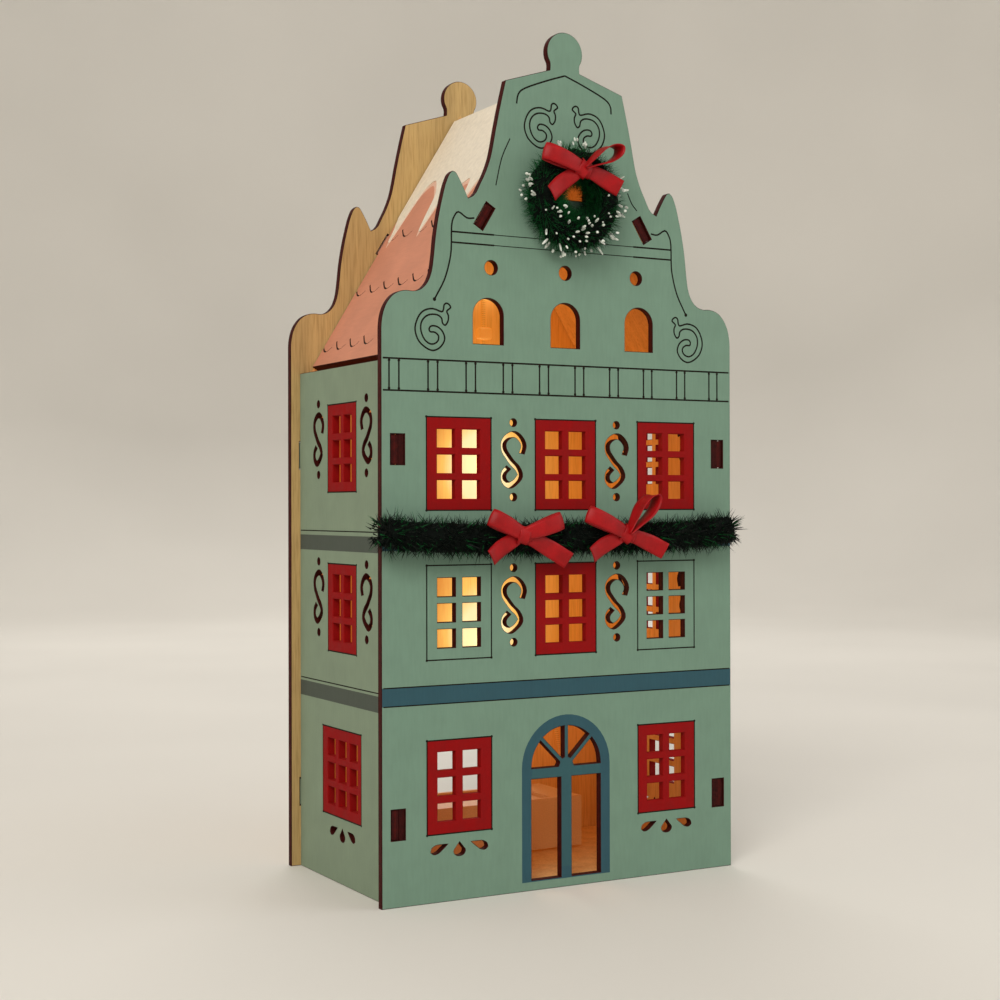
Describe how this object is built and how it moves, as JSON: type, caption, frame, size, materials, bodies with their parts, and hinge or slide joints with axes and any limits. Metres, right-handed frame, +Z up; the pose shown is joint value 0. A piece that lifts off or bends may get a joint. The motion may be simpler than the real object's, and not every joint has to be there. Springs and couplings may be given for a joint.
{
  "type": "lighted wooden house",
  "caption": "Tabletop plywood canal house with stepped gables, cut-out windows and door, lamps inside, a frosted wreath and a garland with ribbon bows.",
  "frame": {"origin": "middle of the floor panel's underside, on the surface that the house stands on", "axes": "+Z up, -Y towards the decorated front, +X to the right as seen from the front"},
  "size_m": [0.157, 0.103, 0.315],
  "materials": {
    "teal_paint": "matte paint over plywood",
    "bare_ply": "bare plywood",
    "roof_paint": "matte pink paint",
    "white_plastic": "matte",
    "cell_sleeve": "printed sleeve, plain",
    "contact_steel": "plated",
    "white_foam": "foam tape",
    "clear_wire": "clear sheath",
    "lamp_resin": "warm white, lit",
    "dark_bristle": "fine bristle",
    "frosted_bristle": "fine bristle, frosted tips",
    "red_ribbon": "satin"
  },
  "bodies": {
    "house": {"front_panel": "teal_paint", "back_panel": "bare_ply", "left_wall": "teal_paint", "right_wall": "teal_paint", "left_roof": "roof_paint", "right_roof": "roof_paint", "floor_panel": "bare_ply", "battery_box": "white_plastic", "battery_1": "cell_sleeve", "battery_2": "cell_sleeve", "contact_link": "contact_steel", "contact_minus": "contact_steel", "contact_plus": "contact_steel", "foam_pad": "white_foam", "light_wire": "clear_wire", "lamp_1": "lamp_resin", "lamp_2": "lamp_resin", "lamp_3": "lamp_resin", "lamp_4": "lamp_resin", "lamp_5": "lamp_resin", "wire_clip_1": "white_foam", "wire_clip_2": "white_foam", "wire_clip_3": "white_foam", "wire_clip_4": "white_foam", "wreath": "frosted_bristle", "wreath_bow": "red_ribbon", "garland": "dark_bristle", "garland_bow_left": "red_ribbon", "garland_bow_right": "red_ribbon"},
    "cover": {"battery_cover": "white_plastic"},
    "switch": {"light_switch": "white_plastic"}
  },
  "joints": [
    {"name": "cover_slide", "type": "slide", "parent": "house", "child": "cover", "axis": [-1, 0, 0], "range_m": [0, 0.03]},
    {"name": "switch_slide", "type": "slide", "parent": "house", "child": "switch", "axis": [1, 0, 0], "range_m": [0, 0.003]}
  ]
}
